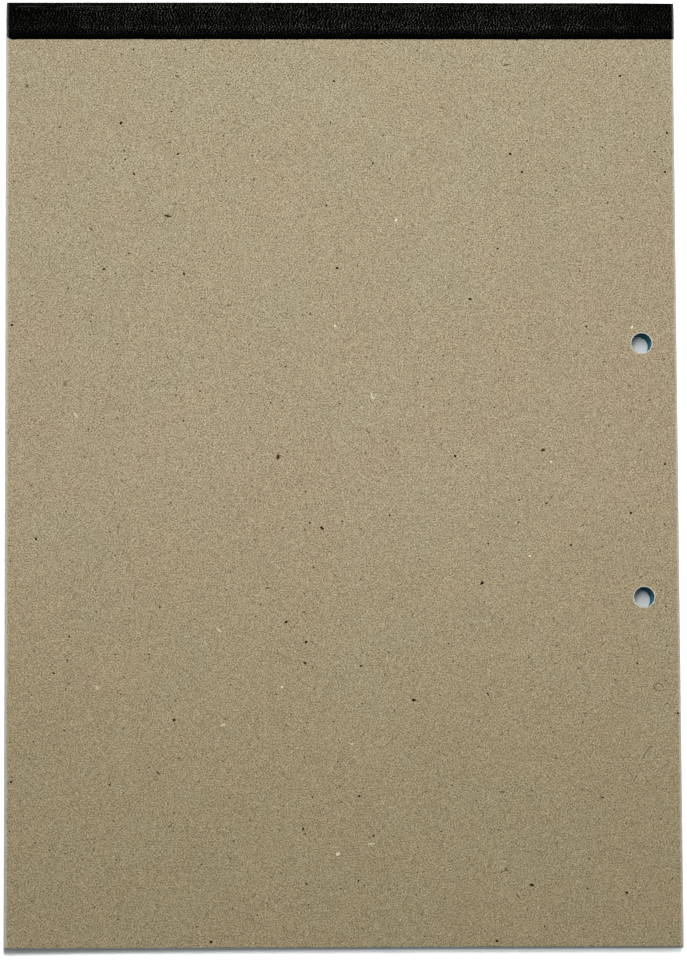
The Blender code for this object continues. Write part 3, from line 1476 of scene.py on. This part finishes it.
@dataclass
class FrontCover:
    """The card cover, with the rebate along the head that the tape is pressed into."""

    pad: PadFrame
    finish: CoverFinish = field(default_factory=CoverFinish)
    lean_foot: float = -0.55 * MM
    lean_head: float = -0.02 * MM
    step_width: float = 0.02 * MM
    rebate_gap: float = 0.02 * MM
    tape_thickness: float = 0.20 * MM

    def build(self) -> list[bpy.types.Object]:
        """Builds and dresses the cover.

        Returns:
            The pieces.
        """
        low, high = self.pad.cover_low, self.pad.cover_high
        leaf = PunchedLeaf(
            low,
            high,
            self.pad.holes(1.0),
            self.pad.hole_radius,
            corner=0.6 * MM,
            rim=0.05 * MM,
        )
        work = leaf.build()
        self.cut_rebate(work)
        turn = (self.lean_foot - self.lean_head) / (high.y - low.y)
        lean(work, high.y, turn, self.lean_head)
        core = CutPaperFinish("cover_core", (0.70, 0.71, 0.69), (0.46, 0.50, 0.51)).build()
        piece = finished("cover_card", work, [self.finish.build(self.pad), core, core])
        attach(piece, "front_cover")
        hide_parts("front_cover")
        return [piece]

    def cut_rebate(self, work: bmesh.types.BMesh) -> None:
        """Thins the cover from its outer face where the tape lies."""
        start = self.pad.tape_low.y - self.rebate_gap
        for y in (start - self.step_width, start):
            cut_at(work, (0.0, y, 0.0), (0.0, 1.0, 0.0))
        depth = self.tape_thickness + self.rebate_gap
        middle = (self.pad.cover_low.z + self.pad.cover_high.z) / 2
        for vert in work.verts:
            if vert.co.y > start - NEAR and vert.co.z < middle:
                vert.co.z += depth


class Lap(Enum):
    """Which of its two laps a part of the tape belongs to."""

    BACK = 1
    FRONT = -1


@dataclass
class BindingTape:
    """The black strip folded round the head, in two parts that meet low on the spine."""

    pad: PadFrame
    finish: TapeFinish = field(default_factory=TapeFinish)
    thickness: float = 0.20 * MM
    back_fold: float = 0.70 * MM
    front_fold: float = 0.40 * MM
    meeting_z: float = 1.70 * MM
    columns: int = 150
    rows: int = 14
    fold_segments: int = 8
    fold_gap: float = 0.02 * MM
    spine_cuts: int = 19
    front_bend_above: float = 0.5 * MM
    front_bend_below: float = 0.4 * MM
    worn_corner: float = 1.5 * MM
    corner_squash: float = 0.8
    corner_turns: tuple[int, ...] = (200, 215, 230, 245, 260)
    feather: float = 1.6 * MM
    feather_drop: float = 0.13 * MM
    thinnest: float = 0.03 * MM
    swell: float = 0.035 * MM
    swell_size: float = 9.0 * MM
    swell_start: float = 1.5 * MM
    swell_ramp: float = 2.0 * MM
    edge_wander: float = 0.06 * MM
    edge_wander_size: float = 12.0 * MM
    bulge: float = 0.20 * MM
    bulge_middle: float = -40.0 * MM
    bulge_half: float = 95.0 * MM
    bulge_reach: float = 3.0 * MM
    tuck: float = 0.14 * MM
    tuck_reach: float = 16.0 * MM
    crease_in: float = 0.78 * MM
    crease_half: float = 0.24 * MM
    crease_depth: float = 0.05 * MM
    lap_more: float = 0.14 * MM
    end_more: float = 0.34 * MM
    nub_x: float = 0.0558
    nub_half: float = 0.55 * MM
    nub_reach: float = 0.60 * MM

    def build(self) -> list[bpy.types.Object]:
        """Builds and dresses both parts.

        Returns:
            The pieces.
        """
        grain = self.finish.build(self.pad)
        back = finished("tape_back", self.strip(Lap.BACK), [grain])
        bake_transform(back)
        front = finished("tape_front", self.strip(Lap.FRONT), [grain])
        self.pad.cover_axis_z + self.front_bend_above
        self.pad.cover_axis_z - self.front_bend_below
        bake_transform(front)
        for piece in (back, front):
            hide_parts("binding_tape")
        return [back, front]

    def strip(self, lap: Lap) -> bmesh.types.BMesh:
        """Builds one part: a lap, its fold and its share of the spine.

        Args:
            lap: Which part.

        Returns:
            The mesh.
        """
        low, high = self.pad.tape_low, self.pad.tape_high
        face_z = high.z if lap is Lap.BACK else low.z
        fold = self.back_fold if lap is Lap.BACK else self.front_fold
        work = bmesh.new()
        bmesh.ops.create_grid(work, x_segments=self.columns, y_segments=self.rows, size=0.5)
        bmesh.ops.scale(work, vec=(high.x - low.x, high.y - low.y, 1.0), verts=work.verts)
        bmesh.ops.translate(work, vec=(0.0, (high.y + low.y) / 2, face_z), verts=work.verts)
        self.cut_corner(work, low)
        if lap is Lap.BACK:
            self.add_columns(work)
            self.add_rows(work)
        head = [e for e in work.edges if all(v.co.y > high.y - LEVEL for v in e.verts)]
        grown = bmesh.ops.extrude_edge_only(work, edges=head)
        lower = [part for part in grown["geom"] if isinstance(part, bmesh.types.BMVert)]
        bmesh.ops.translate(work, vec=(0.0, 0.0, self.meeting_z - face_z), verts=lower)
        bmesh.ops.bevel(
            work,
            geom=head,
            offset=fold,
            segments=self.fold_segments,
            profile=0.5,
            affect="EDGES",
            material=-1,
        )
        self.divide_spine(work, fold, face_z, lap)
        self.face_outwards(work, lap)
        bmesh.ops.solidify(work, geom=work.faces[:], thickness=self.thickness)
        if lap is Lap.BACK:
            self.settle(work)
        return work

    def cut_corner(self, work: bmesh.types.BMesh, low: Vector) -> None:
        """Wears the lap's corner away from the holes round, with a few straight cuts."""
        radius = self.worn_corner
        squash = self.corner_squash
        middle = Vector((low.x + radius, low.y + radius * squash, 0.0))
        for degrees in self.corner_turns:
            turn = math.radians(degrees)
            out = Vector((math.cos(turn), math.sin(turn) * squash, 0.0))
            cut_at(work, middle + out * radius, (math.cos(turn), math.sin(turn), 0.0), clear=True)

    def add_columns(self, work: bmesh.types.BMesh) -> None:
        """Adds the columns that the small nub of the lap's edge needs."""
        for x in (self.nub_x - self.nub_half, self.nub_x, self.nub_x + self.nub_half):
            cut_at(work, (x, 0.0, 0.0), (1.0, 0.0, 0.0))

    def add_rows(self, work: bmesh.types.BMesh) -> None:
        """Adds the rows that the crease beside the fold needs."""
        for step in (0.0, 0.5, 1.0, 1.5, 2.0):
            inside = self.crease_in + self.crease_half * (step - 1.0)
            kept_in = max(inside, self.back_fold + self.fold_gap)
            cut_at(work, (0.0, self.pad.tape_high.y - kept_in, 0.0), (0.0, 1.0, 0.0))

    def divide_spine(self, work: bmesh.types.BMesh, fold: float, face_z: float, lap: Lap) -> None:
        """Divides the spine into rows."""
        ends = sorted((self.meeting_z, face_z - lap.value * fold))
        tall = [
            e
            for e in work.edges
            if abs(e.verts[0].co.z - e.verts[1].co.z) > 0.5 * (ends[1] - ends[0])
        ]
        bmesh.ops.subdivide_edges(work, edges=tall, cuts=self.spine_cuts, use_grid_fill=True)

    def face_outwards(self, work: bmesh.types.BMesh, lap: Lap) -> None:
        """Turns the faces so that the lap looks away from the pad."""
        work.normal_update()
        wrong = []
        for face in work.faces:
            outwards = face.normal.z * lap.value + face.normal.y
            if outwards < 0:
                wrong.append(face)
        bmesh.ops.reverse_faces(work, faces=wrong)

    def settle(self, work: bmesh.types.BMesh) -> None:
        """Gives the back lap its feathered edge, crease, swells, uneven fold and nub."""
        low, high = self.pad.tape_low, self.pad.tape_high
        for vert in work.verts:
            x, y, z = vert.co
            inside = high.y - y
            if z > high.z - 0.5 * self.thickness:
                vert.co.z = max(z - self.sunk(x, y), high.z - self.thickness + self.thinnest)
            across = (x - self.bulge_middle) / self.bulge_half
            raised = min(1.0, (z - self.meeting_z) / (high.z - self.meeting_z))
            near = max(0.0, 1.0 - inside / self.bulge_reach)
            ended = max(0.0, 1.0 - (high.x - x) / self.tuck_reach)
            loose = self.bulge * max(0.0, 1.0 - across * across) - self.tuck * ended
            vert.co.y += loose * raised * near
            if abs(y - low.y) < NEAR:
                at_nub = abs(x - self.nub_x) < NEAR
                vert.co.y -= self.nub_reach if at_nub else self.lap_more
                vert.co.y += self.edge_wander * wobble((x, 0.0, 0.9), self.edge_wander_size)
            if high.x - x < NEAR:
                vert.co.x += self.end_more

    def sunk(self, x: float, y: float) -> float:
        """How far the back lap's face lies below the tape's highest plane.

        Args:
            x: Place along the head.
            y: Place towards the head.

        Returns:
            The depth in metres.
        """
        inside = y - self.pad.tape_low.y
        from_head = self.pad.tape_high.y - y
        share = max(0.0, 1.0 - inside / self.feather)
        fade = min(1.0, max(0.0, (from_head - self.swell_start) / self.swell_ramp))
        swell = self.swell * fade * (1.0 - wobble((x, y, 0.4), self.swell_size)) * 0.5
        groove = max(0.0, 1.0 - abs(from_head - self.crease_in) / self.crease_half)
        return self.feather_drop * share * share + swell + self.crease_depth * groove


@dataclass
class PaddingGlue:
    """The brushed film of glue across the head edges of the block."""

    pad: PadFrame
    finish: GlueFinish = field(default_factory=GlueFinish)
    columns: int = 120
    rows: int = 24
    ripple: float = 0.05 * MM
    ripple_size: float = 1.2 * MM
    ripple_stretch: float = 0.2

    def build(self) -> list[bpy.types.Object]:
        """Builds and dresses the film.

        Returns:
            The pieces.
        """
        low, high = self.pad.glue_low, self.pad.glue_high
        work = bmesh.new()
        bmesh.ops.create_grid(work, x_segments=self.columns, y_segments=self.rows, size=0.5)
        bmesh.ops.scale(work, vec=(high.x - low.x, high.z - low.z, 1.0), verts=work.verts)
        bmesh.ops.rotate(
            work, cent=(0.0, 0.0, 0.0), matrix=Matrix.Rotation(-math.pi / 2, 3, "X"), verts=work.verts
        )
        bmesh.ops.translate(work, vec=(0.0, high.y, (low.z + high.z) / 2), verts=work.verts)
        bmesh.ops.solidify(work, geom=work.faces[:], thickness=high.y - low.y)
        bmesh.ops.recalc_face_normals(work, faces=work.faces[:])
        for vert in work.verts:
            x, y, z = vert.co
            if y > (low.y + high.y) / 2:
                swell = wobble((x * self.ripple_stretch, 0.0, z), self.ripple_size)
                vert.co.y -= self.ripple * (1.0 + swell) * 0.5
        piece = finished("glue_film", work, [self.finish.build()])
        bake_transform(piece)
        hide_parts("padding_glue")
        return [piece]


@dataclass(frozen=True)
class Lamp:
    """One soft box. lean turns it from straight down, about X and then Y, in degrees."""

    name: str
    spot: Vec3
    lean: Vec2
    size: Vec2
    power: float
    colour: Colour = (1.0, 1.0, 1.0)
    spread: float = 180.0

    def build(self) -> bpy.types.Object:
        """Adds the lamp to the scene.

        Returns:
            The lamp.
        """
        data = bpy.data.lights.new(self.name, "AREA")
        data.shape = "RECTANGLE"
        data.size, data.size_y = self.size
        data.energy = self.power
        data.color = self.colour
        data.spread = math.radians(self.spread)
        lamp = bpy.data.objects.new(self.name, data)
        lamp.location = self.spot
        lamp.rotation_euler = (math.radians(self.lean[0]), math.radians(self.lean[1]), 0.0)
        lamp.visible_camera = False
        bpy.context.scene.collection.objects.link(lamp)
        return lamp


@dataclass
class Studio:
    """The table, the soft light and the white surroundings."""

    floor: FloorFinish = field(default_factory=FloorFinish)
    floor_half: float = 12.0
    sky: Colour = (0.985, 0.99, 1.0)
    sky_strength: float = 0.18
    lamps: tuple[Lamp, ...] = (
        Lamp("key", (0.00, 0.36, 1.10), (-8.9, 0.0), (0.36, 0.72), 1.40, spread=60.0),
        Lamp("left", (-1.15, 0.00, 0.16), (0.0, -82.0), (0.10, 0.80), 0.30, spread=60.0),
        Lamp("right", (1.15, 0.00, 0.16), (0.0, 82.0), (0.10, 0.80), 0.30, spread=60.0),
    )

    def build(self) -> None:
        """Builds the table, the lamps and the world."""
        work = bmesh.new()
        bmesh.ops.create_grid(work, x_segments=8, y_segments=8, size=self.floor_half)
        table = finished("table", work, [self.floor.build()])
        for lamp in self.lamps:
            lamp.build()
        self.surround()

    def surround(self) -> None:
        """Lights the scene evenly from all round, and shows white behind it."""
        g = Graph(bpy.data.worlds.new("surroundings"))
        lit = g.node(
            "ShaderNodeBackground", sockets={"Color": self.sky, "Strength": self.sky_strength}
        )
        seen = g.node("ShaderNodeBackground", sockets={"Color": WHITE, "Strength": 1.0})
        shown = g.blend(g.looked_at(), lit.outputs[0], seen.outputs[0])
        bpy.context.scene.world = g.close(shown)


def main() -> None:
    """Builds the pad's looks round the frame."""
    logging.basicConfig(level=logging.INFO, format="%(message)s")
    for old in list(bpy.data.objects):
        bpy.data.objects.remove(old, do_unlink=True)
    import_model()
    bpy.context.scene.view_settings.view_transform = "Standard"
    pad = PadFrame.read()
    camera = PhotoCamera()
    camera.build()
    Studio().build()
    for assembly in (
        BackBoard(pad, camera),
        RuledBlock(pad),
        FrontCover(pad),
        PaddingGlue(pad),
        BindingTape(pad),
    ):
        for piece in assembly.build():
            LOG.info("%s: %d faces", piece.name, len(piece.data.polygons))


if __name__ == "__main__":
    main()
